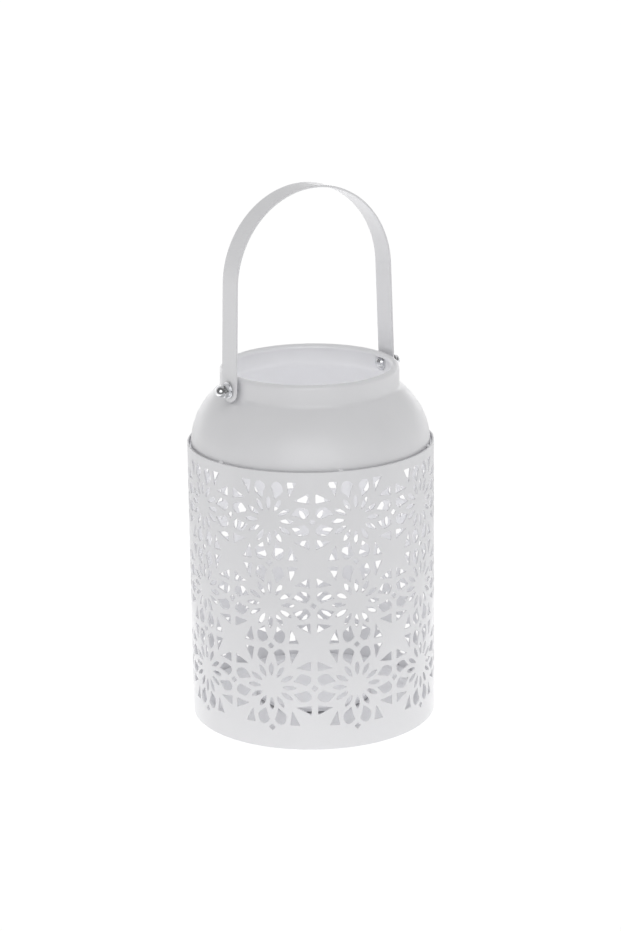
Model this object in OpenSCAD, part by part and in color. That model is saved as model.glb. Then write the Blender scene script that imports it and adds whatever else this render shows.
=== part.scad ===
// Metal candle lantern: a laser-cut cylinder under a spun dome, with an open neck and a strap handle.
// Millimetres. Origin on the axis at the bottom. +Z is up and the handle swings about the X axis.

/* [Wall] */
// Outside diameter of the perforated wall
body_d = 120; // [110:1:150]
// Height of the perforated wall
body_h = 138.4; // [136:0.1:180]
// Thickness of the sheet metal
sheet_t = 0.8; // [0.6:0.1:1.2]

/* [Cut pattern] */
// Number of flower columns round the wall
columns = 9; // [7:1:11]
// Number of flower rows
rows = 3; // [1:1:3]
// Height of the plain band below the pattern
pattern_base = 10.7; // [8:0.1:14]
// Height of the plain band above the pattern
top_band = 3.2; // [2:0.1:8]
// Angle from the left pivot to the nearest flower column, in degrees
pattern_turn = -4; // [-20:1:20]

/* [Dome and neck] */
// Gap between the dome's widest point and the inside of the wall
rim_gap = 0.9; // [0.5:0.1:1.5]
// Radius of the dome's curve
shoulder_r = 34; // [28:0.5:40]
// Depth of the widest point below the wall's upper edge
shoulder_drop = 1.4; // [1:0.1:2]
// Depth of the dome's edge below the wall's upper edge
dome_seat = 4; // [3:0.1:8]
// Outside diameter of the neck
neck_d = 86.8; // [74:0.1:98]
// Height of the neck above the dome's curve
neck_h = 10.74; // [10:0.01:20]
// Radius of the rolled edge
roll_r = 2; // [1.6:0.1:2.1]

/* [Base] */
// Clearance of the base and of the tacks inside the wall
wall_gap = 0.05; // [0.02:0.01:0.1]
// Height of the base's floor
floor_h = 6; // [5:0.1:7]
// Distance from the wall to the middle of the stiffening bead in the floor
bead_inset = 10; // [6:0.5:20]
// Half width of the bead
bead_r = 1.8; // [1.4:0.1:2.2]

/* [Candle dish] */
// Inside diameter of the dish, for a 50 mm candle
dish_d = 50.4; // [40:0.1:60]
// Height of the dish
dish_h = 3; // [2.4:0.1:6]
// Width of the dish's flat lip
lip_w = 2; // [1:0.1:4]
// Diameter of the rivet's shank
rivet_d = 3; // [2.4:0.1:4]
// Diameter of the rivet's heads
rivet_head_d = 5.8; // [5:0.1:8]
// Height of the rivet's lower head
rivet_head_h = 0.9; // [0.6:0.1:1.5]

/* [Handle] */
// Depth of the pivot below the neck's upper edge
pivot_drop = 5.8; // [5.6:0.1:6.2]
// Width of the strap
strap_w = 12.2; // [10:0.1:12.4]
// Thickness of the strap
strap_t = 1; // [0.8:0.1:1.5]
// Inside height of the handle above the pivot
handle_h = 92.4; // [80:0.1:140]
// Length of the straight legs above the pivot
leg_h = 50; // [30:0.1:60]
// Inward lean of each leg, in degrees
leg_lean = 1.9; // [0:0.1:3]

/* [Pivot hardware] */
// Diameter of the pivot screws
screw_d = 3.5; // [3:0.1:3.6]
// Length of a screw's shank
screw_l = 8; // [7.4:0.1:8.4]
// Diameter of a screw's head
head_d = 6.2; // [5:0.1:6.8]
// Height of a screw's head
head_h = 2.2; // [1.8:0.1:2.4]
// Width of the slot in the head
slot_w = 0.8; // [0.5:0.1:1]
// Depth of the slot in the head
slot_h = 1; // [0.6:0.1:1.2]
// Radial clearance of the strap on a screw
swing_gap = 0.1; // [0.04:0.01:0.1]
// Side clearance of the strap between nut and washer
side_gap = 0.3; // [0.2:0.05:0.4]
// Height of the thin nut between the neck and the strap
thin_nut_h = 1.8; // [1.2:0.1:2.4]
// Width of the nuts across their flats
nut_af = 6; // [5.4:0.1:6.4]
// Height of a cap nut
cap_h = 6.4; // [5.8:0.1:7]
// Height of a cap nut's six-sided part
cap_hex_h = 2.8; // [2.2:0.1:3]
// Outside diameter of a washer
washer_d = 8; // [6.8:0.1:8.2]
// Thickness of a washer
washer_t = 0.5; // [0.3:0.1:0.6]

/* [Weld tacks] */
// Number of tacks at each joint
tacks = 6; // [6:1:6]
// Angle from the right pivot to the first tack, in degrees
tack_turn = 9.5; // [-20:0.5:20]
// Length of a tack along its joint
tack_l = 2.6; // [1.5:0.1:4]
// Width of a base tack on the floor and on the wall
tack_w = 1; // [0.8:0.1:1.6]
// How far a rim tack's bead reaches past the gap on each side
tack_bite = 0.55; // [0.3:0.05:0.9]

/* [Hidden] */

$fn = 96;
// How far a cut runs past the metal
overrun = 1;

body_r = body_d / 2;
// The wall is drawn with flat facets, so that each of its many holes meets only plane faces.
facets = 6 * columns;
facet_angle = 360 / facets;
// Inside radius to the middle of a facet
wall_r = body_r * cos(facet_angle / 2) - sheet_t;
base_r = wall_r - wall_gap;
dome_r = wall_r - rim_gap;
neck_r = neck_d / 2;
shoulder_centre = [dome_r - shoulder_r, body_h - shoulder_drop];
neck_foot = shoulder_centre.y + sqrt(pow(shoulder_r, 2) - pow(neck_r - shoulder_centre.x, 2));
neck_top = neck_foot + neck_h;
roll_h = neck_top - roll_r;
pivot_h = neck_top - pivot_drop;
// Distance between the strap's two inner faces at the pivot
handle_w = 2 * (neck_r + thin_nut_h + side_gap);

// One tile of the pattern is 1 wide and 1 high, with the flower's centre at its origin.
tile_w = PI * body_d / columns;
tile_h = (body_h - pattern_base - top_band) / rows;
slit_start_share = 0.131;
slit_end_share = 0.292;
slit_width_share = 0.054;
slit_steps = 3;
slit_fullness = 0.6;
slits = 12;
// Rounded leaf beside each axis of the flower
lobe_shares = [[0.031, 0.405], [0.066, 0.447], [0.103, 0.465], [0.144, 0.450], [0.171, 0.362], [0.158, 0.326],
    [0.075, 0.260]];
// Long triangle beside the star at each corner of the tile
wedge_shares = [[0.212, 0.462], [0.333, 0.462], [0.240, 0.290]];
// Half the diagonal of the diamond between two flowers
diamond_share = 0.040;

// Outline of a slit along x, as a leaf with pointed ends
function slit_shares() = let (length = slit_end_share - slit_start_share, middle = slit_start_share + length / 2)
    concat(
        [for (i = [0:slit_steps]) [middle + length * (i / slit_steps - 0.5),
            slit_width_share / 2 * pow(sin(180 * i / slit_steps), slit_fullness)]],
        [for (i = [1:slit_steps - 1]) [middle + length * (0.5 - i / slit_steps),
            -slit_width_share / 2 * pow(sin(180 * i / slit_steps), slit_fullness)]]);

function arc_point(centre, r, angle) = centre + r * [cos(angle), sin(angle)];
function turned(points, angle) =
    [for (p = points) [p.x * cos(angle) - p.y * sin(angle), p.x * sin(angle) + p.y * cos(angle)]];
function flipped(points) = [for (p = points) [-p.x, p.y]];
function middle_of(points) = let (n = len(points))
    [for (axis = [0, 1]) [for (p = points) p[axis]] * [for (p = points) 1 / n]];

// One hole, square to the wall at the middle of its outline
module wall_hole(points) {
    centre = middle_of(points);
    outline = [for (p = points) [(p.x - centre.x) * tile_w, (p.y - centre.y) * tile_h]];
    rotate([0, 0, centre.x * 360 / columns])
        translate([wall_r - overrun, 0, centre.y * tile_h])
            rotate([90, 0, 90])
                linear_extrude(height = body_r - wall_r + 2 * overrun) polygon(outline);
}

// All the holes of one tile, round a flower at angle 0 and height 0
module flower_cuts() {
    diamond = [for (quarter = [0:3]) diamond_share * [cos(90 * quarter), sin(90 * quarter)]];
    for (i = [0:slits - 1]) wall_hole(turned(slit_shares(), 360 * i / slits));
    for (quarter = [0:3]) {
        wall_hole(turned(lobe_shares, 90 * quarter));
        wall_hole(turned(flipped(lobe_shares), 90 * quarter));
        wall_hole(turned(wedge_shares, 90 * quarter));
        wall_hole(turned(flipped(wedge_shares), 90 * quarter));
    }
    wall_hole([for (p = diamond) p + [0.5, 0]]);
    wall_hole([for (p = diamond) p - [0, 0.5]]);
}

// The rolled sheet before it is cut
module blank_wall() {
    inner = wall_r / cos(facet_angle / 2);
    linear_extrude(height = body_h)
        difference() {
            polygon([for (i = [0:facets - 1]) arc_point([0, 0], body_r, pattern_turn + (i + 0.5) * facet_angle)]);
            polygon([for (i = [0:facets - 1]) arc_point([0, 0], inner, pattern_turn + (i + 0.5) * facet_angle)]);
        }
}

module shade() {
    color("gainsboro")
        difference() {
            blank_wall();
            for (column = [0:columns - 1])
                for (row = [0:rows - 1])
                    rotate([0, 0, 180 + pattern_turn + column * 360 / columns])
                        translate([0, 0, pattern_base + (row + 0.5) * tile_h]) flower_cuts();
        }
}

// Half section of the dome, the neck and the rolled edge. Each part of the outline overlaps the next.
module dome_section() {
    lower = body_h - dome_seat;
    roll_centre = [neck_r - roll_r, roll_h];
    difference() {
        union() {
            intersection() {
                translate(shoulder_centre) circle(r = shoulder_r);
                translate([roll_centre.x, lower]) square([body_r, neck_top - lower]);
            }
            translate([roll_centre.x, lower]) square([roll_r, roll_h - lower]);
            translate(roll_centre) circle(r = roll_r);
        }
        translate(shoulder_centre) circle(r = shoulder_r - sheet_t);
        translate([0, lower - overrun]) square([neck_r - sheet_t, roll_h - lower + overrun]);
        translate(roll_centre) circle(r = roll_r - sheet_t);
    }
}

module dome() {
    color("lightgray")
        difference() {
            rotate_extrude() dome_section();
            translate([0, 0, pivot_h]) rotate([0, 90, 0])
                cylinder(r = screw_d / 2 + swing_gap, h = 2 * (neck_r + overrun), center = true);
        }
}

module base_plate() {
    bead_middle = [wall_r - bead_inset, floor_h - sheet_t];
    color("lightgray")
        difference() {
            rotate_extrude() {
                difference() {
                    union() {
                        square([base_r, floor_h]);
                        translate(bead_middle) circle(r = bead_r);
                    }
                    translate([0, -overrun]) square([base_r - sheet_t, floor_h - sheet_t + overrun]);
                    translate(bead_middle) circle(r = bead_r - sheet_t);
                }
            }
            translate([0, 0, -overrun]) cylinder(r = rivet_d / 2, h = floor_h + 2 * overrun);
        }
}

module candle_dish() {
    outer_r = dish_d / 2 + sheet_t;
    color("lightgray")
        translate([0, 0, floor_h])
            difference() {
                union() {
                    cylinder(r = outer_r, h = dish_h);
                    translate([0, 0, dish_h - sheet_t]) cylinder(r = outer_r + lip_w, h = sheet_t);
                }
                translate([0, 0, sheet_t]) cylinder(r = dish_d / 2, h = dish_h);
                cylinder(r1 = rivet_d / 2, r2 = rivet_head_d / 2, h = sheet_t);
            }
}

// Countersunk rivet, flush with the dish's floor and closed by a round head under the base
module dish_rivet() {
    shank_bottom = floor_h - sheet_t;
    cap_r = (pow(rivet_head_d / 2, 2) + pow(rivet_head_h, 2)) / (2 * rivet_head_h);
    color("silver") {
        translate([0, 0, floor_h]) cylinder(r1 = rivet_d / 2, r2 = rivet_head_d / 2, h = sheet_t);
        translate([0, 0, shank_bottom]) cylinder(r = rivet_d / 2, h = sheet_t);
        intersection() {
            translate([0, 0, shank_bottom - rivet_head_h + cap_r]) sphere(r = cap_r);
            translate([0, 0, shank_bottom - rivet_head_h]) cylinder(r = rivet_head_d / 2, h = rivet_head_h);
        }
    }
}

// The strap's inner edge: a leaning leg, then a side arc and a crown arc that meet at join_angle.
join_angle = 45;
leg_x = handle_w / 2 - leg_h * tan(leg_lean);
rise_left = handle_h - leg_h;
side_x_share = cos(leg_lean) - cos(join_angle);
side_z_share = sin(join_angle) - sin(leg_lean);
crown_x_share = cos(join_angle);
crown_z_share = 1 - sin(join_angle);
arc_scale = side_x_share * crown_z_share - side_z_share * crown_x_share;
side_r = (leg_x * crown_z_share - rise_left * crown_x_share) / arc_scale;
crown_r = (rise_left * side_x_share - leg_x * side_z_share) / arc_scale;

side_centre = [leg_x - side_r * cos(leg_lean), leg_h - side_r * sin(leg_lean)];
arc_steps = 15;

// Right half of the strap's edge, from its foot to the crown, moved out by extra
function edge_half(extra) = concat(
    [arc_point([handle_w / 2 + strap_w * tan(leg_lean), -strap_w], extra, leg_lean)],
    [for (i = [0:arc_steps]) arc_point(side_centre, side_r + extra,
        leg_lean + i / arc_steps * (join_angle - leg_lean))],
    [for (i = [1:arc_steps]) arc_point([0, handle_h - crown_r], crown_r + extra,
        join_angle + i / arc_steps * (90 - join_angle))]);
function reversed(points) = [for (i = [len(points) - 1:-1:0]) points[i]];
function without_last(points) = [for (i = [0:len(points) - 2]) points[i]];
// The whole edge, from the right foot over the crown to the left foot
function edge(extra) = concat(edge_half(extra), reversed(flipped(without_last(edge_half(extra)))));

module handle() {
    color("lightgray")
        translate([0, 0, pivot_h])
            difference() {
                intersection() {
                    rotate([90, 0, 0])
                        linear_extrude(height = 2 * strap_w, center = true)
                            polygon(concat(edge(strap_t), reversed(edge(0))));
                    rotate([90, 0, 90])
                        linear_extrude(height = 2 * handle_w, center = true) {
                            circle(r = strap_w / 2);
                            translate([-strap_w / 2, 0]) square([strap_w, handle_h + strap_w]);
                        }
                }
                rotate([0, 90, 0])
                    cylinder(r = screw_d / 2 + swing_gap, h = 2 * handle_w, center = true);
            }
}

// Places a piece at the pivot, x mm out from the axis on the side that is 1 or -1
module at_pivot(side, x) {
    translate([side * x, 0, pivot_h]) rotate([0, side * 90, 0]) children();
}

inner_seat = sqrt(pow(neck_r - sheet_t, 2) - pow(washer_d / 2, 2));
head_seat = inner_seat - washer_t;
nut_seat = neck_r;
washer_seat = handle_w / 2 + strap_t + side_gap;
cap_seat = washer_seat + washer_t;
bore_end = head_seat + screw_l + swing_gap;

module hexagon(h) {
    cylinder(r = nut_af / 2 / cos(30), h = h, $fn = 6);
}

module washer() {
    color("silver")
        difference() {
            cylinder(r = washer_d / 2, h = washer_t);
            translate([0, 0, -overrun]) cylinder(r = screw_d / 2 + swing_gap, h = washer_t + 2 * overrun);
        }
}

module screw() {
    ball_r = (pow(head_d / 2, 2) + pow(head_h, 2)) / (2 * head_h);
    color("silver") {
        cylinder(r = screw_d / 2, h = screw_l);
        difference() {
            intersection() {
                translate([0, 0, -head_h + ball_r]) sphere(r = ball_r);
                translate([0, 0, -head_h]) cylinder(r = head_d / 2, h = head_h);
            }
            translate([-head_d, -slot_w / 2, -head_h - overrun]) cube([2 * head_d, slot_w, slot_h + overrun]);
        }
    }
}

module lock_nut() {
    color("silver")
        difference() {
            hexagon(thin_nut_h);
            translate([0, 0, -overrun]) cylinder(r = screw_d / 2, h = thin_nut_h + 2 * overrun);
        }
}

module cap_nut() {
    ball_r = nut_af / 2 - sheet_t / 4;
    color("silver")
        difference() {
            union() {
                hexagon(cap_hex_h);
                cylinder(r = ball_r, h = cap_h - ball_r);
                translate([0, 0, cap_h - ball_r]) sphere(r = ball_r);
            }
            translate([0, 0, -overrun]) cylinder(r = screw_d / 2, h = bore_end - cap_seat + overrun);
        }
}

// Angle that a length spans on the wall's upper edge
function span(length) = length / body_r * 180 / PI;

// Turns a section through one tack's length
module tack(i) {
    color("lightgray")
        rotate([0, 0, tack_turn + (i - 1) * 360 / tacks - span(tack_l) / 2])
            rotate_extrude(angle = span(tack_l)) children();
}

// Bead that bridges the gap between the dome and the wall, and lies on the wall's upper edge
module rim_tack(i) {
    tack(i)
        difference() {
            translate([dome_r + rim_gap / 2, body_h]) circle(r = rim_gap / 2 + tack_bite);
            translate(shoulder_centre) circle(r = shoulder_r, $fn = 720);
            translate([base_r, 0]) square([sheet_t + overrun, body_h]);
        }
}

// Fillet between the base's floor and the inside of the wall
module base_tack(i) {
    tack(i)
        polygon([[base_r, floor_h], [base_r, floor_h + tack_w], [base_r - tack_w, floor_h]]);
}

shade();
dome();
base_plate();
candle_dish();
dish_rivet();
handle();
for (side = [["left", -1], ["right", 1]]) {
    at_pivot(side[1], head_seat) screw();
    at_pivot(side[1], head_seat) washer();
    at_pivot(side[1], nut_seat) lock_nut();
    at_pivot(side[1], washer_seat) washer();
    at_pivot(side[1], cap_seat) cap_nut();
}
for (i = [1:tacks]) {
    rim_tack(i);
    base_tack(i);
}
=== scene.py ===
"""Looks of the metal candle lantern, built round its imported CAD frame."""

import math

import bmesh
import bpy
import numpy as np
from mathutils import Matrix, Vector
from mathutils.geometry import delaunay_2d_cdt


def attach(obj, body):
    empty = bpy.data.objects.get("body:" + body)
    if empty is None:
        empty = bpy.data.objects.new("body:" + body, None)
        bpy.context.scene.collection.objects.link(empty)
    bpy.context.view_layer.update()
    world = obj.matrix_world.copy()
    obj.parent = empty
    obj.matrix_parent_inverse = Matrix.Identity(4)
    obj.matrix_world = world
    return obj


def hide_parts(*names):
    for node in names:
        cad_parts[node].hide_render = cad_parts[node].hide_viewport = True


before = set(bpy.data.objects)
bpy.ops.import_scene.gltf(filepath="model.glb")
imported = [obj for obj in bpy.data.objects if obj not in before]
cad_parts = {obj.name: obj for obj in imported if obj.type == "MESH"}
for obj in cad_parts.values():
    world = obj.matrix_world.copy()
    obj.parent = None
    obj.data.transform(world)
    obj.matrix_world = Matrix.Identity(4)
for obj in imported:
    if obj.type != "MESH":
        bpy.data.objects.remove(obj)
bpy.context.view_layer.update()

# Lengths are millimetres until a mesh is made.
MM = 0.001

# Wall and its pattern, with the angle from the X axis to the first flower column
BODY_R = 60.0
BODY_H = 138.4
SHEET = 0.8
COLUMNS = 9
ROWS = 3
TILE_W = 2 * math.pi * BODY_R / COLUMNS
TILE_H = 41.5
PATTERN_BASE = 10.7
PATTERN_TURN = math.radians(56)

# Dome, as an arc round DOME_CENTRE in (r, z), and its neck
DOME_CENTRE = (24.2, 137.0)
DOME_R = 34.0
DOME_LOW = 134.4
DOME_FILLET = 3.0
NECK_R = 43.4
NECK_TOP = 175.8
ROLL_R = 2.0

# Base and dish
SKIRT_R = 59.05
FLOOR_H = 6.0
PAN_CORNER_R = 1.4
BEAD_TOP = 7.0
BEAD_FOOT = (46.5, 51.7)
BEAD_CREST = (47.9, 50.3)
BEAD_R = 0.8
DISH_WALL_R = 26.0
DISH_TOP = 9.0
LIP_R = 27.2
LIP_EDGE_H = 6.9
# Points of a profile that lie nearer to the axis than this are on it
AXIS_REACH = 0.4

# Height of the pivot, and the strap's section
PIVOT_H = 170.0
STRAP_W = 12.2
STRAP_T = 1.0

# Pivot hardware of M3.5 size, and where each piece starts along the pivot
SCREW_R = 1.75
SCREW_LENGTH = 8.0
HOLE_R = 1.85
WASHER_R = 4.0
WASHER_T = 0.5
HEX_HALF = 3.0
HEX_BEVEL_R = 2.86
THIN_NUT_H = 1.8
CAP_HEX_H = 2.8
CAP_R = 2.8
CAP_CENTRE = 3.6
CAP_BORE = 2.7
HEAD_R = 3.1
HEAD_H = 2.2
SLOT_TURN = math.radians(25)
HEAD_SEAT = 41.912
THIN_NUT_SEAT = NECK_R
WASHER_SEAT = 46.8
CAP_SEAT = 47.3

# Weld tacks: their number, the angle of the first in degrees, their length, and the middle and
# the radii of a rim bead and of a base bead in (r, z)
TACKS = 6
TACK_TURN = 9.5
TACK_LENGTH = 2.6
RIM_TACK = ((58.65, 138.35), (0.95, 0.85))
BASE_TACK = ((58.75, 6.15), (0.75, 0.75))

# Camera, fitted to the rims and edges of the photograph: its level distance and height in metres
CAMERA_TURN = math.radians(34.3)
CAMERA_DISTANCE = 1.2311
CAMERA_HEIGHT = 0.48368
CAMERA_PITCH = math.radians(16.275)
CAMERA_ROLL = math.radians(-0.794)
FOCAL_PIXELS = 2626.6
PHOTO_HEIGHT = 931
SENSOR_HEIGHT = 36
# How far the picture is moved to the right and down, in pixels
PICTURE_SHIFT = (0.4, 0.6)


def add_camera():
    """Camera that sees the object as the photograph does."""
    level = Vector((math.sin(CAMERA_TURN), math.cos(CAMERA_TURN), 0))
    right = Vector((math.cos(CAMERA_TURN), -math.sin(CAMERA_TURN), 0))
    forward = level * math.cos(CAMERA_PITCH) - Vector((0, 0, math.sin(CAMERA_PITCH)))
    up = right.cross(forward)
    tilted_right = right * math.cos(CAMERA_ROLL) + up * math.sin(CAMERA_ROLL)
    tilted_up = up * math.cos(CAMERA_ROLL) - right * math.sin(CAMERA_ROLL)
    data = bpy.data.cameras.new("camera")
    data.sensor_fit = "VERTICAL"
    data.sensor_height = SENSOR_HEIGHT
    data.lens = FOCAL_PIXELS / PHOTO_HEIGHT * SENSOR_HEIGHT
    data.shift_x = -PICTURE_SHIFT[0] / PHOTO_HEIGHT
    data.shift_y = PICTURE_SHIFT[1] / PHOTO_HEIGHT
    data.clip_start = 0.05
    data.clip_end = 20
    camera = bpy.data.objects.new("camera", data)
    axes = Matrix((tilted_right, tilted_up, -forward)).transposed()
    camera.matrix_world = axes.to_4x4()
    camera.location = -level * CAMERA_DISTANCE + Vector((0, 0, CAMERA_HEIGHT))
    bpy.context.scene.collection.objects.link(camera)
    bpy.context.scene.camera = camera


def polar(r, angle):
    """Point at a radius and an angle in radians."""
    return (r * math.cos(angle), r * math.sin(angle))


def arc(centre, r, start, end, steps):
    """Points of an arc, with angles in degrees."""
    out = []
    for i in range(steps + 1):
        x, y = polar(r, math.radians(start + (end - start) * i / steps))
        out.append((centre[0] + x, centre[1] + y))
    return out


# Materials


def node_material(name):
    """Material with its tree, its shader and the place on the object that its textures use."""
    material = bpy.data.materials.new(name)
    material.use_nodes = True
    tree = material.node_tree
    shader = tree.nodes["Principled BSDF"]
    place = tree.nodes.new("ShaderNodeTexCoord")
    return material, tree, shader, place.outputs["Object"]


def noise(tree, place, scale, detail=2.0):
    """Cloudy texture, with its scale in clouds per metre."""
    texture = tree.nodes.new("ShaderNodeTexNoise")
    texture.inputs["Scale"].default_value = scale
    texture.inputs["Detail"].default_value = detail
    texture.inputs["Roughness"].default_value = 0.5
    tree.links.new(place, texture.inputs["Vector"])
    return texture.outputs["Fac"]


def spread(tree, value, low, high, start=0.3, end=0.7):
    """Maps the range from start to end, at first a texture's middle range, to low and high."""
    node = tree.nodes.new("ShaderNodeMapRange")
    node.inputs["From Min"].default_value = start
    node.inputs["From Max"].default_value = end
    node.inputs["To Min"].default_value = low
    node.inputs["To Max"].default_value = high
    tree.links.new(value, node.inputs["Value"])
    return node.outputs["Result"]


def tint(tree, value, first, second):
    """Colour between two, by a value from 0 to 1."""
    node = tree.nodes.new("ShaderNodeMix")
    node.data_type = "RGBA"
    node.inputs["A"].default_value = (*first, 1)
    node.inputs["B"].default_value = (*second, 1)
    tree.links.new(value, node.inputs["Factor"])
    return node.outputs["Result"]


def bump(tree, shader, heights):
    """Chains bumps of (height, depth in metres)."""
    last = None
    for height, depth in heights:
        node = tree.nodes.new("ShaderNodeBump")
        node.inputs["Strength"].default_value = 1
        node.inputs["Distance"].default_value = depth
        tree.links.new(height, node.inputs["Height"])
        if last is not None:
            tree.links.new(last, node.inputs["Normal"])
        last = node.outputs["Normal"]
    tree.links.new(last, shader.inputs["Normal"])


def vary_surface(tree, shader, place, colours, colour_scale, roughness, gloss_scale, detail):
    """Gives a shader a faint cloud of two colours and an uneven gloss."""
    cloud = spread(tree, noise(tree, place, colour_scale, 3), 0, 1)
    tree.links.new(tint(tree, cloud, *colours), shader.inputs["Base Color"])
    gloss = spread(tree, noise(tree, place, gloss_scale, detail), *roughness)
    tree.links.new(gloss, shader.inputs["Roughness"])


def powder_coat():
    """Satin coat with a fine orange peel."""
    material, tree, shader, place = node_material("powder coat")
    colours = ((0.845, 0.845, 0.862), (0.87, 0.87, 0.888))
    vary_surface(tree, shader, place, colours, colour_scale=38,
                 roughness=(0.3, 0.4), gloss_scale=160, detail=2)
    shader.inputs["Specular IOR Level"].default_value = 0.7
    peel = noise(tree, place, 620)
    grain = noise(tree, place, 3200)
    bump(tree, shader, [(peel, 0.00004), (grain, 0.00001)])
    return material


def bright_plate():
    """Plated steel with a slight haze."""
    material, tree, shader, place = node_material("bright plate")
    shader.inputs["Metallic"].default_value = 1
    colours = ((0.72, 0.73, 0.75), (0.8, 0.8, 0.81))
    vary_surface(tree, shader, place, colours, colour_scale=420,
                 roughness=(0.07, 0.2), gloss_scale=900, detail=3)
    bump(tree, shader, [(noise(tree, place, 1400), 0.00001)])
    return material


COAT = powder_coat()
PLATE = bright_plate()


# Meshes


def add_piece(name, points, faces, normals, body, material, stands_for):
    """Makes an object from millimetre points and rides it on a body."""
    mesh = bpy.data.meshes.new(name)
    mesh.from_pydata([tuple(MM * c for c in p) for p in points], [], faces)
    mesh.validate()
    mesh.update()
    mesh.polygons.foreach_set("use_smooth", [True] * len(mesh.polygons))
    mesh.normals_split_custom_set_from_vertices(normals)
    mesh.materials.append(material)
    piece = bpy.data.objects.new(name, mesh)
    bpy.context.scene.collection.objects.link(piece)
    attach(piece, body)
    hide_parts(*stands_for)


def outline_normals(loop):
    """How far each point of an anticlockwise loop moves for an offset of 1, and its unit normal."""
    pts = np.array(loop)
    edge = np.roll(pts, -1, 0) - pts
    edge /= np.linalg.norm(edge, axis=1)[:, None]
    side = np.stack([edge[:, 1], -edge[:, 0]], 1)
    total = side + np.roll(side, 1, 0)
    length = np.linalg.norm(total, axis=1)[:, None]
    return total / np.maximum(length, 0.35), total / np.maximum(length, 1e-9)


def anticlockwise(loop):
    """The loop itself, or reversed where it runs clockwise."""
    pts = np.array(loop)
    after = np.roll(pts, -1, 0)
    area = (pts[:, 0] * after[:, 1] - after[:, 0] * pts[:, 1]).sum()
    return loop if area > 0 else loop[::-1]


def sheet_mesh(outer_loops, holes, grid, thickness, edge, bend):
    """Points, faces and normals of a cut sheet.

    The sheet is drawn flat, as outer_loops and holes, with the loose points of grid between them.
    bend turns (u, v, depth) into a point and its three directions, with depth 0 on the outer face.
    edge is the radius of the coat round each cut.
    """
    loops = [(anticlockwise(loop), 1) for loop in outer_loops]
    loops += [(anticlockwise(loop), -1) for loop in holes]
    flat = []
    cut = []
    cut_normals = []
    starts = []
    for loop, sign in loops:
        push, unit = outline_normals(loop)
        pts = np.array(loop)
        starts.append((len(flat), len(loop)))
        flat.extend(map(tuple, pts - sign * push * edge))
        cut.extend(map(tuple, pts))
        cut_normals.extend(map(tuple, unit * sign))
    borders = [list(range(start, start + count)) for start, count in starts]
    flat.extend(grid)
    spots = [Vector(p) for p in flat]
    inside_only, nearness = 1, 1e-7
    coords, _, tris, origins, _, owners = delaunay_2d_cdt(
        spots, [], borders, inside_only, nearness
    )
    place_of = {}
    for i, sources in enumerate(origins):
        for source in sources:
            place_of[source] = i
    outside = set(range(len(outer_loops)))
    kept = [f for f, owner in zip(tris, owners) if owner and set(owner) <= outside]
    points = []
    normals = []

    def add(u, v, depth, flat_normal, lean):
        spot, along, across, out = bend(u, v, depth)
        side = along * flat_normal[0] + across * flat_normal[1]
        points.append(tuple(spot))
        normals.append(tuple((out * lean + side).normalized()))
        return len(points) - 1

    front = [add(c[0], c[1], 0, (0, 0), 1) for c in coords]
    back = [add(c[0], c[1], thickness, (0, 0), -1) for c in coords]
    faces = [tuple(front[i] for i in f) for f in kept]
    faces += [tuple(back[i] for i in reversed(f)) for f in kept]
    middle = []
    for depth in (edge, thickness - edge):
        middle.append([add(c[0], c[1], depth, n, 0) for c, n in zip(cut, cut_normals)])
    for (start, count), (_, sign) in zip(starts, loops):
        for k in range(count):
            a = start + k
            b = start + (k + 1) % count
            if sign < 0:
                a, b = b, a
            rows = [
                (front[place_of[a]], front[place_of[b]]),
                (middle[0][a], middle[0][b]),
                (middle[1][a], middle[1][b]),
                (back[place_of[a]], back[place_of[b]]),
            ]
            for (p, q), (r, s) in zip(rows, rows[1:]):
                faces.append((q, p, r, s))
    return points, faces, normals


# A rounding takes up at most this share of the side next to it.
CORNER_SHARE = 0.45
# Radius at the cut edge of a spun or pressed sheet, as a share of its thickness
END_SHARE = 0.22


def round_corner(start, corner, end, steps):
    """Points of a curve from start to end that a corner pulls to itself."""
    out = []
    for k in range(steps + 1):
        t = k / steps
        p = start * (1 - t) ** 2 + corner * 2 * t * (1 - t) + end * t * t
        out.append(tuple(p))
    return out


def round_loop(corners, radius, steps=3):
    """A loop with its corners rounded. radius is one number, or one for each corner."""
    out = []
    n = len(corners)
    for i, corner in enumerate(corners):
        r = radius[i] if isinstance(radius, (list, tuple)) else radius
        here = Vector(corner)
        before = Vector(corners[i - 1]) - here
        after = Vector(corners[(i + 1) % n]) - here
        reach = min(r, before.length * CORNER_SHARE, after.length * CORNER_SHARE)
        start = here + before.normalized() * reach
        end = here + after.normalized() * reach
        if reach < 1e-4:
            out.append(tuple(here))
        else:
            out += round_corner(start, here, end, steps)
    return out


def divided(loop, longest):
    """Adds points to a loop so that no side is longer than the given length."""
    out = []
    for i, p in enumerate(loop):
        q = loop[(i + 1) % len(loop)]
        parts = max(1, math.ceil(math.dist(p, q) / longest))
        for k in range(parts):
            t = k / parts
            out.append((p[0] + (q[0] - p[0]) * t, p[1] + (q[1] - p[1]) * t))
    return out


# The cut wall, with its shapes as shares of a tile that is 1 wide and 1 high

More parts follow.
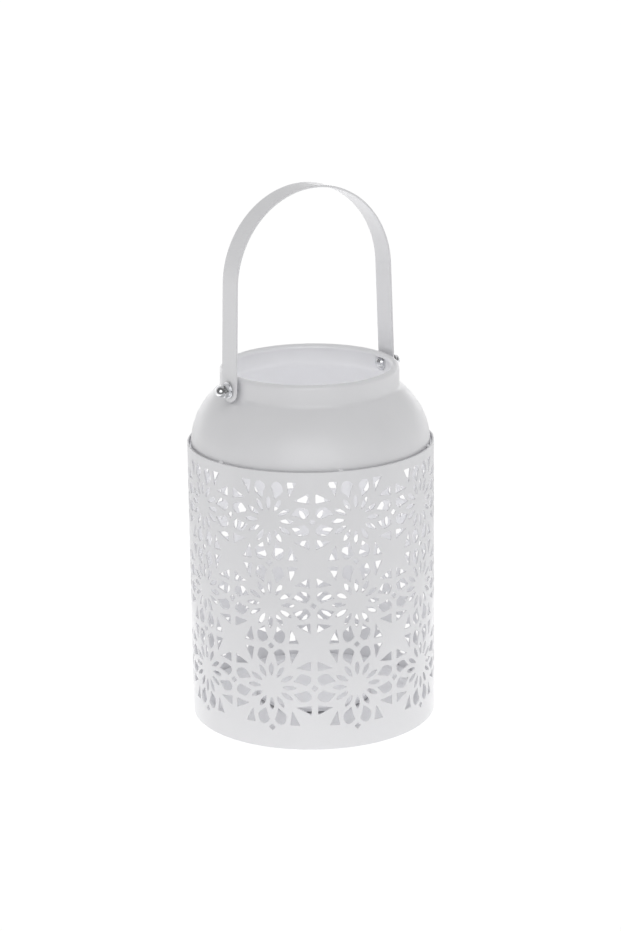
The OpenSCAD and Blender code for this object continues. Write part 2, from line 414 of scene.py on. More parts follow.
SLIT_START_SHARE = 0.131
SLIT_END_SHARE = 0.290
SLIT_WIDTH_SHARE = 0.054
LOBE_SHARES = [
    (0.032, 0.405), (0.045, 0.428), (0.064, 0.447), (0.084, 0.459), (0.103, 0.464),
    (0.124, 0.461), (0.142, 0.450), (0.155, 0.430), (0.164, 0.404), (0.169, 0.380),
    (0.170, 0.358), (0.165, 0.338), (0.152, 0.322), (0.118, 0.294), (0.078, 0.262),
    (0.072, 0.275), (0.064, 0.312), (0.055, 0.345), (0.044, 0.377),
]
WEDGE_SHARES = [(0.212, 0.462), (0.331, 0.462), (0.240, 0.290), (0.227, 0.380)]
WEDGE_ROUNDING = [0.012, 0.012, 0.01, 0]
DIAMOND_SHARE = 0.040
DIAMOND_ROUNDING = 0.35
# Radius of the coat round each cut
CUT_EDGE = 0.12


def slit():
    """Leaf along x with pointed ends. It is widest a little past its middle, and full there."""
    side = []
    steps, past, fullness = 9, 1.1, 0.62
    length = SLIT_END_SHARE - SLIT_START_SHARE
    for i in range(steps + 1):
        t = i / steps
        width = SLIT_WIDTH_SHARE / 2 * math.sin(math.pi * t**past) ** fullness
        side.append((SLIT_START_SHARE + length * t, width))
    return side + [(x, -y) for x, y in side[-2:0:-1]]


def turned(loop, angle):
    """The loop turned round the origin."""
    c, s = math.cos(angle), math.sin(angle)
    return [(x * c - y * s, x * s + y * c) for x, y in loop]


def tile_holes():
    """Outlines of one tile's whole holes, in millimetres from the flower's centre."""
    out = [turned(slit(), math.radians(30 * i)) for i in range(12)]
    for quarter in range(4):
        for shape, r in ((LOBE_SHARES, 0), (WEDGE_SHARES, WEDGE_ROUNDING)):
            for flip in (1, -1):
                loop = [(flip * x, y) for x, y in shape]
                loop = round_loop(loop, r) if r else loop
                out.append(turned(loop, math.radians(90 * quarter)))
    return [[(x * TILE_W, y * TILE_H) for x, y in loop] for loop in out]


def diamond(x, y):
    """Outline of the small diamond round a point."""
    corners = [polar(DIAMOND_SHARE * TILE_W, math.radians(90 * i)) for i in range(4)]
    loop = round_loop(corners, DIAMOND_ROUNDING, 2)
    return [(x + p[0], y + p[1]) for p in loop]


def wall_bend(u, v, depth):
    """Rolls the flat wall up."""
    angle = PATTERN_TURN + u / BODY_R
    c, s = math.cos(angle), math.sin(angle)
    r = BODY_R - depth
    along = Vector((-s, c, 0))
    out = Vector((c, s, 0))
    return Vector((r * c, r * s, v)), along, Vector((0, 0, 1)), out


def build_wall():
    """The wall is cut flat and rolled up. Its weld runs up a column of stars at the back."""
    half = TILE_W / 2
    row_middle = [PATTERN_BASE + (row + 0.5) * TILE_H for row in range(ROWS)]
    holes = []
    for column in range(COLUMNS):
        for middle in row_middle:
            x = column * TILE_W
            for loop in tile_holes():
                holes.append([(x + px, middle + py) for px, py in loop])
            holes.append(diamond(x, middle - TILE_H / 2))
            if column < COLUMNS - 1:
                holes.append(diamond(x + half, middle))
    # The sheet's two ends run through the last column of diamonds.
    low_x, high_x = -half, (COLUMNS - 0.5) * TILE_W
    notch = []
    for middle in row_middle:
        loop = diamond(0, middle)
        right = sorted((p for p in loop if p[0] > 0.05), key=lambda p: p[1])
        notch.append([(0, min(p[1] for p in loop))] + right + [(0, max(p[1] for p in loop))])
    left_side = [(low_x + px, py) for part in notch for px, py in part]
    right_side = [(high_x - px, py) for part in notch for px, py in part]
    outline = [(low_x, 0), (high_x, 0)] + right_side
    outline += [(high_x, BODY_H), (low_x, BODY_H)] + left_side[::-1]
    outline = divided(outline, TILE_W / 20)
    # Loose points between the holes keep the rolled sheet round.
    step_x = TILE_W / 24
    level_count, nearby, least_gap = 68, 1.0, 0.7
    hole_points = np.array([p for loop in holes for p in loop] + outline)
    grid = []
    columns_of_points = int(round((high_x - low_x) / step_x))
    levels = np.linspace(0, BODY_H, level_count)
    for i in range(1, columns_of_points):
        x = low_x + i * step_x
        near = hole_points[np.abs(hole_points[:, 0] - x) < nearby]
        for y in levels[1:-1]:
            clear = not len(near) or np.hypot(near[:, 0] - x, near[:, 1] - y).min() > least_gap
            if clear and not in_hole(x, y, row_middle):
                grid.append((x, y))
    points, faces, normals = sheet_mesh([outline], holes, grid, SHEET, CUT_EDGE, wall_bend)
    add_piece("cut_wall", points, faces, normals, "body", COAT, ["shade"])


TILE_LOOPS = [np.array(loop) for loop in tile_holes()]


def in_hole(x, y, row_middle):
    """Whether a point of the flat sheet lies in a hole, by counting the sides to its right."""
    column = round(x / TILE_W)
    middle = min(row_middle, key=lambda m: abs(m - y))
    px, py = x - column * TILE_W, y - middle
    for loop in TILE_LOOPS:
        within_x = loop[:, 0].min() < px < loop[:, 0].max()
        if not (within_x and loop[:, 1].min() < py < loop[:, 1].max()):
            continue
        after = np.roll(loop, -1, 0)
        over = (loop[:, 1] > py) != (after[:, 1] > py)
        (ax, ay), (bx, by) = loop[over].T, after[over].T
        cross = ax + (py - ay) * (bx - ax) / (by - ay)
        if (cross > px).sum() % 2:
            return True
    return False


# Spun pieces


def spin(name, profile, stands_for, segments=288):
    """Turns a closed anticlockwise profile of (r, z) about the lantern's axis."""
    _, unit = outline_normals(profile)
    count = len(profile)
    points = []
    normals = []
    faces = []
    on_axis = [r < 1e-6 for r, _ in profile]
    for k in range(segments):
        angle = 2 * math.pi * k / segments
        c, s = math.cos(angle), math.sin(angle)
        for (r, z), (nr, nz) in zip(profile, unit):
            points.append((r * c, r * s, z))
            normals.append((nr * c, nr * s, nz))
    for k in range(segments):
        here, there = k * count, (k + 1) % segments * count
        for i in range(count):
            j = (i + 1) % count
            if on_axis[i] and on_axis[j]:
                continue
            a, b, c, d = here + i, here + j, there + j, there + i
            if on_axis[i]:
                faces.append((i, c, b))
            elif on_axis[j]:
                faces.append((a, d, j))
            else:
                faces.append((a, d, c, b))
    used = sorted({i for f in faces for i in f})
    new = {old: i for i, old in enumerate(used)}
    points = [points[i] for i in used]
    for i in used:
        if math.hypot(*points[new[i]][:2]) <= 1e-6:
            normals[i] = (0, 0, math.copysign(1, normals[i][2]))
    normals = [normals[i] for i in used]
    faces = [tuple(new[i] for i in f) for f in faces]
    add_piece(name, points, faces, normals, "body", COAT, stands_for)


def rounded_sheet(path, radii, thickness, steps=5):
    """Closed profile of a sheet that lies to the left of a path with rounded bends."""
    left = []
    right = []
    for i, p in enumerate(path):
        here = Vector(p)
        if i == 0 or i == len(path) - 1:
            along = (Vector(path[1]) - here) if i == 0 else (here - Vector(path[-2]))
            side = Vector((-along.y, along.x)).normalized()
            right.append(tuple(here))
            left.append(tuple(here + side * thickness))
            continue
        first = (here - Vector(path[i - 1])).normalized()
        second = (Vector(path[i + 1]) - here).normalized()
        turn = math.atan2(first.x * second.y - first.y * second.x, first.dot(second))
        side = Vector((-first.y, first.x)) * (1 if turn > 0 else -1)
        r = radii[i] if turn < 0 else radii[i] + thickness
        reach = r * math.tan(abs(turn) / 2)
        centre = here - first * reach + side * r
        start = math.atan2(-side.y, -side.x)
        for k in range(steps + 1):
            angle = start + turn * k / steps
            ray = Vector((math.cos(angle), math.sin(angle)))
            right.append(tuple(centre + ray * r))
            far = r - thickness if turn > 0 else r + thickness
            left.append(tuple(centre + ray * far))
    return soften_ends(right, left, thickness * END_SHARE)


def soften_ends(right, left, edge):
    """Joins the two sides of a sheet with small round corners at both ends."""
    out = []
    for side, other in ((right, left), (left[::-1], right[::-1])):
        out.extend(side[1:-1])
        end, across = Vector(side[-1]), Vector(other[-1])
        over = (across - end).normalized() * edge
        back = Vector(side[-2]) - end
        back = back.normalized() * min(edge, back.length * CORNER_SHARE)
        out += round_corner(end + back, end, end + over, 3)
        far_back = Vector(other[-2]) - across
        far_back = far_back.normalized() * min(edge, far_back.length * CORNER_SHARE)
        out += round_corner(across - over, across, across + far_back, 3)
    return out


def build_dome():
    """One spun sheet: the dome, a small fillet, the neck and an edge that is rolled inwards."""
    cx, cz = DOME_CENTRE
    fx = NECK_R + DOME_FILLET
    fz = cz + math.sqrt((DOME_R + DOME_FILLET) ** 2 - (fx - cx) ** 2)
    meet = math.degrees(math.atan2(fz - cz, fx - cx))
    low = math.degrees(math.asin((DOME_LOW - cz) / DOME_R))
    roll_centre = (NECK_R - ROLL_R, NECK_TOP - ROLL_R)
    outside = arc(DOME_CENTRE, DOME_R, low, meet, 44)
    outside += arc((fx, fz), DOME_FILLET, meet + 180, 180, 5)[1:]
    neck = [(NECK_R, fz + (roll_centre[1] - fz) * t) for t in (0.2, 0.4, 0.6, 0.8)]
    outside += neck + arc(roll_centre, ROLL_R, 0, 180, 18)
    inside = arc(DOME_CENTRE, DOME_R - SHEET, low, meet, 44)
    inside += arc((fx, fz), DOME_FILLET + SHEET, meet + 180, 180, 5)[1:]
    inside += [(NECK_R - SHEET, z) for _, z in neck]
    inside += arc(roll_centre, ROLL_R - SHEET, 0, 180, 18)
    spin("spun_dome", soften_ends(outside, inside, 0.2), ["dome"])


def build_base():
    """Pressed pan with its skirt down, and a ring bead that stiffens the floor."""
    path = [(SKIRT_R, 0), (SKIRT_R, FLOOR_H), (BEAD_FOOT[1], FLOOR_H), (BEAD_CREST[1], BEAD_TOP)]
    path += [(BEAD_CREST[0], BEAD_TOP), (BEAD_FOOT[0], FLOOR_H), (0, FLOOR_H)]
    profile = rounded_sheet(path, [0, PAN_CORNER_R, *[BEAD_R] * 4, 0], SHEET)
    spin("base_pan", close_on_axis(profile), ["base_plate"])


def close_on_axis(profile):
    """Takes out the rounding at the axis, where the sheet simply goes on."""
    first = next(i for i, p in enumerate(profile) if p[0] <= AXIS_REACH)
    heights = [z for r, z in profile if r <= AXIS_REACH]
    ends = [(0.0, max(heights)), (0.0, min(heights))]
    ends.sort(key=lambda end: abs(profile[first - 1][1] - end[1]))
    before = [p for p in profile[:first] if p[0] > AXIS_REACH]
    after = [p for p in profile[first:] if p[0] > AXIS_REACH]
    return before + ends + after


def build_dish():
    """Shallow pressed dish on the floor's middle. Its lip is flat, with its edge turned down."""
    lip_low = DISH_TOP - SHEET
    path = [(0, FLOOR_H), (DISH_WALL_R, FLOOR_H), (DISH_WALL_R, lip_low)]
    path += [(LIP_R, lip_low), (LIP_R, LIP_EDGE_H)]
    profile = rounded_sheet(path, [0, 0.5, 0.4, 0.3, 0], SHEET)
    spin("pressed_dish", close_on_axis(profile), ["candle_dish"], segments=192)


def build_rivet():
    """Flush head in the dish's floor, and a round head under the base."""
    top, shank_r, head_r = 6.83, 1.5, 2.9
    head_centre, head_h = 5.05, 0.75
    flush = [(0, top), (2.2, top), (2.7, top - 0.03), (2.86, top - 0.11)]
    under = FLOOR_H - SHEET
    shank = [(shank_r, FLOOR_H), (shank_r, under), (2.75, under), (head_r, under - 0.12)]
    low_head = []
    for a in np.radians(np.arange(10, 90, 10)):
        low_head.append((head_r * math.cos(a), head_centre - head_h * math.sin(a)))
    low_head.append((0, head_centre - head_h))
    profile = anticlockwise(flush + shank + low_head)
    spin("dish_rivet_head", profile, ["dish_rivet"], segments=48)


# The strap: the lean of its legs, the angle where a side arc meets the crown, half its inner width
# at the pivot, and the heights of the loop and of the straight legs above the pivot

LEAN = math.radians(1.9)
JOIN = math.radians(45)
HALF_W = 45.5
LOOP_H = 92.4
LEG_H = 50.0
LEG_X = HALF_W - LEG_H * math.tan(LEAN)


def arch_radii():
    """Radii of the side and crown arcs that join smoothly and end level at the top."""
    across = [math.cos(LEAN) - math.cos(JOIN), math.cos(JOIN)]
    up = [math.sin(JOIN) - math.sin(LEAN), 1 - math.sin(JOIN)]
    return np.linalg.solve(np.array([across, up]), [LEG_X, LOOP_H - LEG_H])


SIDE_R, CROWN_R = arch_radii()
# Lengths of the inner edge along half the crown and along one side arc
CROWN_LENGTH = CROWN_R * (math.pi / 2 - JOIN)
SIDE_LENGTH = SIDE_R * (JOIN - LEAN)


def strap_place(u):
    """Point on the strap's inner edge and its outward direction, u mm to the right of the crown."""
    sign = 1 if u >= 0 else -1
    u = abs(u)
    if u <= CROWN_LENGTH:
        angle = math.pi / 2 - u / CROWN_R
        x, z = CROWN_R * math.cos(angle), LOOP_H - CROWN_R + CROWN_R * math.sin(angle)
    elif u <= CROWN_LENGTH + SIDE_LENGTH:
        angle = JOIN - (u - CROWN_LENGTH) / SIDE_R
        x = LEG_X - SIDE_R * math.cos(LEAN) + SIDE_R * math.cos(angle)
        z = LEG_H - SIDE_R * math.sin(LEAN) + SIDE_R * math.sin(angle)
    else:
        angle = LEAN
        rest = u - CROWN_LENGTH - SIDE_LENGTH
        x, z = LEG_X + rest * math.sin(LEAN), LEG_H - rest * math.cos(LEAN)
    return sign * x, z, sign * math.cos(angle), math.sin(angle)


def strap_bend(u, v, depth):
    """Bends the flat strap to its loop."""
    x, z, ox, oz = strap_place(u)
    out = Vector((ox, 0, oz))
    along = Vector((oz, 0, -ox))
    spot = Vector((x, v, PIVOT_H + z)) + out * (STRAP_T - depth)
    return spot, along, Vector((0, 1, 0)), out


def build_strap():
    """The strap is cut flat, with round ends and two holes, and bent to its loop."""
    reach = CROWN_LENGTH + SIDE_LENGTH + LEG_H / math.cos(LEAN)
    half = STRAP_W / 2
    outline = []
    for a in np.radians(np.arange(-90, 91, 7.5)):
        outline.append((reach + half * math.cos(a), half * math.sin(a)))
    outline += [(-x, -y) for x, y in outline]
    outline = divided(outline, 2.0)
    circle = [polar(HOLE_R, a) for a in np.radians(np.arange(0, 360, 15))]
    holes = [[(sign * reach + x, y) for x, y in circle] for sign in (1, -1)]
    # Loose points between the edge and the holes keep the bends round.
    step, rows = 1.5, 7
    row_gap, edge_gap, hole_gap = 0.9, 0.8, 0.6
    grid = []
    for u in np.arange(-reach - half + step, reach + half - step, step):
        for v in np.linspace(-half + row_gap, half - row_gap, rows):
            past = max(0, abs(u) - reach)
            off_hole = math.hypot(abs(u) - reach, v) > HOLE_R + hole_gap
            if off_hole and math.hypot(past, v) < half - edge_gap:
                grid.append((u, v))
    strap_edge = 0.24
    points, faces, normals = sheet_mesh([outline], holes, grid, STRAP_T, strap_edge, strap_bend)
    add_piece("strap_handle", points, faces, normals, "handle", COAT, ["handle"])


# Screws, washers and nuts, each drawn along its own axis and then set at a pivot


def lathe(profile, segments=48):
    """A mesh from a profile of (r, height) that ends on the axis twice, or closes on itself."""
    mesh = bmesh.new()
    closed = profile[0][0] > 1e-6
    rings = []
    for r, z in profile:
        if r < 1e-6:
            rings.append([mesh.verts.new((0, 0, z))])
            continue
        spots = [polar(r, 2 * math.pi * k / segments) for k in range(segments)]
        rings.append([mesh.verts.new((*spot, z)) for spot in spots])
    pairs = list(zip(rings, rings[1:]))
    if closed:
        pairs.append((rings[-1], rings[0]))
    for low, high in pairs:
        for k in range(segments):
            n = (k + 1) % segments
            if len(low) == 1:
                mesh.faces.new((low[0], high[n], high[k]))
            elif len(high) == 1:
                mesh.faces.new((low[k], low[n], high[0]))
            else:
                mesh.faces.new((low[k], low[n], high[n], high[k]))
    bmesh.ops.recalc_face_normals(mesh, faces=mesh.faces)
    return mesh


def hex_rings(height, inner_low, inner_high):
    """Rings of a six-sided nut with cut corners, from the middle of one face to the other's."""
    mesh = bmesh.new()
    # Number of points in a ring
    n = 48
    half_side = math.radians(30)
    slope = math.tan(math.radians(30))
    around = []
    for k in range(n):
        angle = 2 * math.pi * k / n
        inside = (angle + half_side) % (2 * half_side) - half_side
        r = HEX_HALF / math.cos(inside)
        drop = max(0.0, r - HEX_BEVEL_R) * slope
        around.append((angle, r, drop))
    rows = [
        [(inner_low, angle, 0.0) for angle, _, _ in around],
        [(HEX_BEVEL_R, angle, 0.0) for angle, _, _ in around],
        [(r, angle, drop) for angle, r, drop in around],
        [(r, angle, height - drop) for angle, r, drop in around],
        [(HEX_BEVEL_R, angle, height) for angle, _, _ in around],
        [(inner_high, angle, height) for angle, _, _ in around],
    ]
    rings = [[mesh.verts.new((*polar(r, angle), z)) for r, angle, z in row] for row in rows]
    for low, high in zip(rings, rings[1:]):
        for k in range(n):
            mesh.faces.new((low[k], low[(k + 1) % n], high[(k + 1) % n], high[k]))
    return mesh, rings, n


def place_at_pivot(mesh, side, x):
    """Sets a mesh at a pivot, x mm from the middle, with its own z axis pointing outwards."""
    for vert in mesh.verts:
        up, across, out = vert.co
        vert.co = Vector((side * (x + out), side * across, PIVOT_H + up)) * MM
    bmesh.ops.recalc_face_normals(mesh, faces=mesh.faces)


def finish_hardware(mesh, name, side, x, stands_for):
    """Makes a plated piece of hardware with slightly rounded edges."""
    place_at_pivot(mesh, side, x)
    # Edges that turn by more than this are rounded.
    limit = math.radians(40)
    for edge in mesh.edges:
        if len(edge.link_faces) == 2 and edge.calc_face_angle(0) > limit:
            edge.smooth = False
    for face in mesh.faces:
        face.smooth = True
    data = bpy.data.meshes.new(name)
    mesh.to_mesh(data)
    mesh.free()
    data.materials.append(PLATE)
    piece = bpy.data.objects.new(name, data)
    bpy.context.scene.collection.objects.link(piece)
    rounding = piece.modifiers.new("rounding", "BEVEL")
    rounding.width = 0.00006
    rounding.segments = 2
    rounding.limit_method = "ANGLE"
    rounding.angle_limit = limit
    rounding.harden_normals = False
    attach(piece, "body")
    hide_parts(stands_for)


def build_washer(name, side, x, stands_for):
    """Punched washer: one face has the punch's round edge, the other its sharp one."""
    r, sharp, chamfer = 0.22, 0.05, 0.12
    profile = [(HOLE_R, 0.0), (WASHER_R - sharp, 0.0), (WASHER_R, sharp)]
    for a in np.radians(np.arange(0, 91, 15)):
        profile.append((WASHER_R - r + r * math.cos(a), WASHER_T - r + r * math.sin(a)))
    profile += [(HOLE_R + chamfer, WASHER_T), (HOLE_R, WASHER_T - chamfer)]
    finish_hardware(lathe(profile, 64), name, side, x, stands_for)


def build_lock_nut(name, side, x, stands_for):
    """Thin six-sided nut with a plain bore."""
    mesh, rings, n = hex_rings(THIN_NUT_H, SCREW_R, SCREW_R)
    for k in range(n):
        mesh.faces.new((rings[-1][k], rings[-1][(k + 1) % n], rings[0][(k + 1) % n], rings[0][k]))
    finish_hardware(mesh, name, side, x, stands_for)


def build_cap_nut(name, side, x, stands_for):
    """Six-sided foot with a closed round cap."""
    mesh, rings, n = hex_rings(CAP_HEX_H, SCREW_R, CAP_R + 0.04)
    profile = [(CAP_R, CAP_HEX_H + 0.08), (CAP_R, CAP_CENTRE)]
    for a in np.radians(np.arange(10, 90, 10)):
        profile.append((CAP_R * math.cos(a), CAP_CENTRE + CAP_R * math.sin(a)))
    last = rings[-1]
    angles = [2 * math.pi * k / n for k in range(n)]
    for r, z in profile:
        ring = [mesh.verts.new((*polar(r, a), z)) for a in angles]
        for k in range(n):
            mesh.faces.new((last[k], last[(k + 1) % n], ring[(k + 1) % n], ring[k]))
        last = ring
    tip = mesh.verts.new((0, 0, CAP_CENTRE + CAP_R))
    for k in range(n):
        mesh.faces.new((last[k], last[(k + 1) % n], tip))
    bore = [mesh.verts.new((*polar(SCREW_R, a), CAP_BORE)) for a in angles]
    for k in range(n):
        mesh.faces.new((rings[0][(k + 1) % n], rings[0][k], bore[k], bore[(k + 1) % n]))
    mesh.faces.new(bore)
    finish_hardware(mesh, name, side, x, stands_for)


def build_screw(name, side, x, stands_for):
    """Slotted pan head inside the neck, with a threaded shank that runs out to the cap nut."""
    dome_r = (HEAD_R**2 + HEAD_H**2) / (2 * HEAD_H)
    profile = [(0, -HEAD_H)]
    # The head's crown ends a little inside its rim.
    for i in range(1, 13):
        r = HEAD_R * i / 12.6
        profile.append((r, -HEAD_H + dome_r - math.sqrt(dome_r**2 - r**2)))
    rim, undercut = 0.12, 0.08
    profile += [(HEAD_R, -rim), (HEAD_R - undercut, 0.0), (SCREW_R, 0.0)]
    thread_start, pitch, turns = 0.5, 0.6, 12
    root_r, end_r = 1.45, 1.4
    for i in range(1, turns * 2):
        profile.append((SCREW_R if i % 2 else root_r, thread_start + i * pitch / 2))
    profile += [(end_r, SCREW_LENGTH), (0, SCREW_LENGTH)]
    finish_hardware(lathe(profile), name, side, x, stands_for)


def cut_slot(name, side, x):
    """Cuts the driver's slot with a boolean that is applied at once."""
    piece = bpy.data.objects[name]
    length, width, depth = 8, 0.8, 1.0
    cutter_mesh = bmesh.new()
    bmesh.ops.create_cube(cutter_mesh, size=1)
    for vert in cutter_mesh.verts:
        vert.co = (vert.co.x * length, vert.co.y * width, vert.co.z * 2 * depth - HEAD_H)
    turn = Matrix.Rotation(SLOT_TURN * side, 4, "Z")
    bmesh.ops.transform(cutter_mesh, matrix=turn, verts=cutter_mesh.verts)
    place_at_pivot(cutter_mesh, side, x)
    data = bpy.data.meshes.new("slot cutter")
    cutter_mesh.to_mesh(data)
    cutter_mesh.free()
    cutter = bpy.data.objects.new("slot cutter", data)
    bpy.context.scene.collection.objects.link(cutter)
    cut = piece.modifiers.new("slot", "BOOLEAN")
    cut.object = cutter
    cut.operation = "DIFFERENCE"
    cut.solver = "EXACT"
    bpy.context.view_layer.update()
    graph = bpy.context.evaluated_depsgraph_get()
    baked = bpy.data.meshes.new_from_object(piece.evaluated_get(graph))
    piece.modifiers.clear()
    piece.data = baked
    bpy.data.objects.remove(cutter)


# Weld tacks


def build_tack(name, centre_angle, section_centre, radii, stands_for):
    """A drawn-out drop of weld under the coat, with the ripples that it cools in."""
    around, along = 20, 18
    fullness, ripple_depth, ripple_rate = 2.6, 0.04, 19
    points = []
    normals = []
    faces = []
    for i in range(along + 1):
        t = i / along * 2 - 1
        taper = math.sqrt(max(0.0, 1 - abs(t) ** fullness))
        ripple = 1 + ripple_depth * math.cos(t * ripple_rate)
        angle = centre_angle + t * TACK_LENGTH / 2 / section_centre[0]
        c, s = math.cos(angle), math.sin(angle)
        for k in range(around):
            a = 2 * math.pi * k / around
            r = section_centre[0] + radii[0] * taper * ripple * math.cos(a)
            z = section_centre[1] + radii[1] * taper * ripple * math.sin(a)
            points.append((r * c, r * s, z))
            bulge = Vector((math.cos(a) * c, math.cos(a) * s, math.sin(a)))
            bulge += Vector((-s, c, 0)) * t * abs(t) ** 3 * 1.5
            normals.append(tuple(bulge.normalized()))
    for i in range(along):
        for k in range(around):
            a, b = i * around + k, i * around + (k + 1) % around
            faces.append((a, b, b + around, a + around))
    faces.append(tuple(range(around))[::-1])
    faces.append(tuple(range(along * around, (along + 1) * around)))
    faces = [tuple(reversed(f)) for f in faces]
    add_piece(name, points, faces, normals, "body", COAT, [stands_for])


add_camera()
build_wall()
build_dome()
build_base()
build_dish()
build_rivet()
build_strap()
for side_name, side in (("left", -1), ("right", 1)):
    build_screw(side_name + "_pan_screw", side, HEAD_SEAT, side_name + "_screw")
    cut_slot(side_name + "_pan_screw", side, HEAD_SEAT)
    build_washer(side_name + "_neck_washer", side, HEAD_SEAT, side_name + "_inner_washer")
    build_lock_nut(side_name + "_thin_nut", side, THIN_NUT_SEAT, side_name + "_lock_nut")
    build_washer(side_name + "_strap_washer", side, WASHER_SEAT, side_name + "_outer_washer")
    build_cap_nut(side_name + "_acorn_nut", side, CAP_SEAT, side_name + "_cap_nut")
for i in range(TACKS):
    angle = math.radians(TACK_TURN + 360 / TACKS * i)
    build_tack(f"rim_weld_{i + 1}", angle, *RIM_TACK, f"rim_tack_{i + 1}")
    build_tack(f"base_weld_{i + 1}", angle, *BASE_TACK, f"base_tack_{i + 1}")


# Studio. Distances are in metres here, and brightness is 1 for white.

FLOOR_R = 6
# The floor lies this far below the object, so that the two don't share a plane
FLOOR_GAP = 0.0002
# The floor as the camera sees it: its own light, and the grey that shows the shadow
SEEN_GLOW = 0.9
SEEN_GREY = 0.2
# The floor as it lights the object: its grey, and its light near the object and farther off
TABLE_GREY = 0.5
TABLE_NEAR = 0.76
TABLE_FAR = 0.67
# Light of the tent at the horizon and overhead, and its factors at the front and at the back
TENT_SIDE = 0.25
TENT_TOP = 0.70
TENT_FRONT = 1.14
TENT_BACK = 1.0
# Height and power of the two lamps inside the lantern, and their radius
LOW_FILL = (0.085, 0.034)
HIGH_FILL = (0.172, 0.009)
FILL_LAMP_R = 0.012
# Direction of the soft lamp above the tent's front, and how much brighter the tent is there
LAMP_WAY = (-0.28, -0.53, 0.8)
LAMP_GAIN = 1.9
# Direction of the tent's door, and how bright the room past it is
DOOR_WAY = (-0.541, -0.793, 0.280)
ROOM_DARK = 0.22
# Brightness in mirror images of the table by the object, of its far end, of the low backdrop and
# of the lamp that stands in the door
SHOWN_TABLE = 1.6
SHOWN_END = 1.45
SHOWN_BACKDROP = 3.3
SHOWN_LAMP = 2.0
# Distances over which the table's light changes, from the object and towards the door
TABLE_FALL = (0.09, 0.2)
TABLE_EDGE = (0.13, 0.2)
SHOWN_TABLE_FALL = (0.15, 0.35)
SHOWN_END_FALL = (-0.9, -0.2)
# Ranges over which the tent's light changes: how near a direction is to the door or to the lamp,
# or how high it points
FRONT_RANGE = (0.1, 0.9)
LAMP_RANGE = (0.6, 0.95)
ROOM_RANGE = (-0.1, 0.15)
SHOWN_LAMP_RANGE = (0.85, 0.91)
BEHIND_RANGE = (-0.9, -0.45)
LOW_RANGE = (0.06, 0.24)


def mixed(tree, factor, first, second):
    """The first shader where the factor is 0, the second where it is 1."""
    node = tree.nodes.new("ShaderNodeMixShader")
    tree.links.new(factor, node.inputs["Fac"])
    tree.links.new(first, node.inputs[1])
    tree.links.new(second, node.inputs[2])
    return node.outputs["Shader"]


def added(tree, first, second):
    """Sum of two shaders."""
    node = tree.nodes.new("ShaderNodeAddShader")
    tree.links.new(first, node.inputs[0])
    tree.links.new(second, node.inputs[1])
    return node.outputs["Shader"]


def combined(tree, operation, first, second):
    """Result of one operation on two values."""
    node = tree.nodes.new("ShaderNodeMath")
    node.operation = operation
    tree.links.new(first, node.inputs[0])
    tree.links.new(second, node.inputs[1])
    return node.outputs["Value"]


def toward(tree, place, way):
    """How far a place or a direction lies along a way."""
    node = tree.nodes.new("ShaderNodeVectorMath")
    node.operation = "DOT_PRODUCT"
    node.inputs[1].default_value = way
    tree.links.new(place, node.inputs[0])
    return node.outputs["Value"]


def plain_diffuse(tree, level):
    """Matt grey shader."""
    node = tree.nodes.new("ShaderNodeBsdfDiffuse")
    node.inputs["Color"].default_value = (level, level, level, 1)
    return node.outputs["BSDF"]


def white_stage():
    """Wide white floor. The camera sees it white, with the object's soft shadow."""
    mesh = bmesh.new()
    bmesh.ops.create_circle(mesh, cap_ends=True, radius=FLOOR_R, segments=96)
    data = bpy.data.meshes.new("floor")
    mesh.to_mesh(data)
    mesh.free()
    floor = bpy.data.objects.new("floor", data)
    floor.location.z = -FLOOR_GAP
    bpy.context.scene.collection.objects.link(floor)
    material = bpy.data.materials.new("white floor")
    material.use_nodes = True
    tree = material.node_tree
    tree.nodes.clear()
    out = tree.nodes.new("ShaderNodeOutputMaterial")
    glow = tree.nodes.new("ShaderNodeEmission")
    glow.inputs["Strength"].default_value = SEEN_GLOW
    seen = added(tree, glow.outputs["Emission"], plain_diffuse(tree, SEEN_GREY))
    # The table is lit from below, most of all round its middle.
    place = tree.nodes.new("ShaderNodeTexCoord")
    reach = tree.nodes.new("ShaderNodeVectorMath")
    reach.operation = "LENGTH"
    tree.links.new(place.outputs["Object"], reach.inputs[0])
    table = tree.nodes.new("ShaderNodeEmission")
    fall = spread(tree, reach.outputs["Value"], TABLE_NEAR, TABLE_FAR, *TABLE_FALL)
    tree.links.new(fall, table.inputs["Strength"])
    other = added(tree, plain_diffuse(tree, TABLE_GREY), table.outputs["Emission"])
    # Mirror images show the bright table up to its front edge, and the dark room past it.
    front = toward(tree, place.outputs["Object"], (DOOR_WAY[0], DOOR_WAY[1], 0))
    mirrored = tree.nodes.new("ShaderNodeEmission")
    edge = spread(tree, front, 1.0, ROOM_DARK, *TABLE_EDGE)
    near = spread(tree, reach.outputs["Value"], SHOWN_TABLE, 1.0, *SHOWN_TABLE_FALL)
    far = spread(tree, front, SHOWN_END, 0.0, *SHOWN_END_FALL)
    shown = combined(tree, "MAXIMUM", combined(tree, "MULTIPLY", edge, near), far)
    tree.links.new(shown, mirrored.inputs["Strength"])
    path = tree.nodes.new("ShaderNodeLightPath")
    rest = mixed(tree, path.outputs["Is Glossy Ray"], other, mirrored.outputs["Emission"])
    tree.links.new(mixed(tree, path.outputs["Is Camera Ray"], rest, seen), out.inputs["Surface"])
    data.materials.append(material)


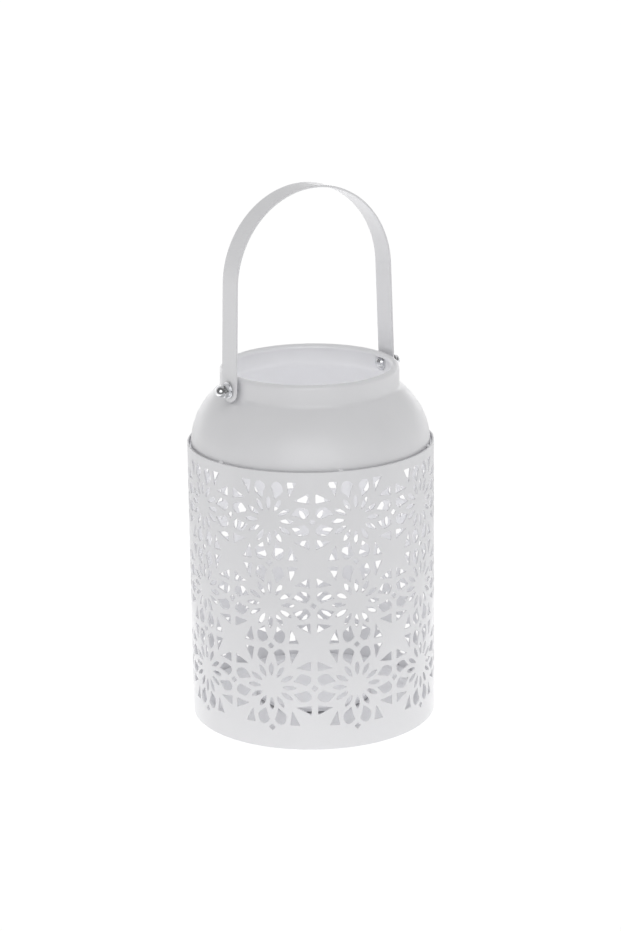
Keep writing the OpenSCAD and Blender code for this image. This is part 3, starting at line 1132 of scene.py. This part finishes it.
def tent_world():
    """Light tent: white where it is seen, with a soft lamp above its front where it lights.

    Mirror images show the tent, its brightest part low behind the object, the dark room past its
    door and the lamp in the middle of that.
    """
    world = bpy.data.worlds.new("tent")
    bpy.context.scene.world = world
    world.use_nodes = True
    tree = world.node_tree
    tree.nodes.clear()
    out = tree.nodes.new("ShaderNodeOutputWorld")
    place = tree.nodes.new("ShaderNodeTexCoord")
    split = tree.nodes.new("ShaderNodeSeparateXYZ")
    tree.links.new(place.outputs["Generated"], split.inputs["Vector"])
    door = toward(tree, place.outputs["Generated"], DOOR_WAY)
    above = toward(tree, place.outputs["Generated"], LAMP_WAY)
    height = spread(tree, split.outputs["Z"], TENT_SIDE, TENT_TOP, 0.0, 1.0)
    front = spread(tree, door, TENT_BACK, TENT_FRONT, *FRONT_RANGE)
    tent = combined(tree, "MULTIPLY", height, front)
    soft = spread(tree, above, 1.0, LAMP_GAIN, *LAMP_RANGE)
    lit = tree.nodes.new("ShaderNodeBackground")
    tree.links.new(combined(tree, "MULTIPLY", tent, soft), lit.inputs["Strength"])
    room = spread(tree, door, 1.0, ROOM_DARK, *ROOM_RANGE)
    lamp = spread(tree, door, 0.0, SHOWN_LAMP, *SHOWN_LAMP_RANGE)
    behind = spread(tree, door, 1.0, 0.0, *BEHIND_RANGE)
    low = spread(tree, split.outputs["Z"], SHOWN_BACKDROP, 0.0, *LOW_RANGE)
    shown = combined(tree, "MAXIMUM", combined(tree, "MAXIMUM", room, lamp),
                     combined(tree, "MULTIPLY", behind, low))
    mirrored = tree.nodes.new("ShaderNodeBackground")
    tree.links.new(shown, mirrored.inputs["Strength"])
    seen = tree.nodes.new("ShaderNodeBackground")
    seen.inputs["Color"].default_value = (1, 1, 1, 1)
    path = tree.nodes.new("ShaderNodeLightPath")
    rest = mixed(tree, path.outputs["Is Glossy Ray"], lit.outputs["Background"],
                 mirrored.outputs["Background"])
    shown = mixed(tree, path.outputs["Is Camera Ray"], rest, seen.outputs["Background"])
    tree.links.new(shown, out.inputs["Surface"])


def fill_lamp(name, height, watts):
    """Soft lamp on the axis, which lifts the inside as the photograph's fill light does."""
    data = bpy.data.lights.new(name, "POINT")
    data.energy = watts
    data.shadow_soft_size = FILL_LAMP_R
    lamp = bpy.data.objects.new(name, data)
    lamp.location = (0, 0, height)
    lamp.visible_camera = False
    lamp.visible_glossy = False
    bpy.context.scene.collection.objects.link(lamp)


fill_lamp("low fill", *LOW_FILL)
fill_lamp("high fill", *HIGH_FILL)
white_stage()
tent_world()
bpy.context.scene.view_settings.view_transform = "Standard"
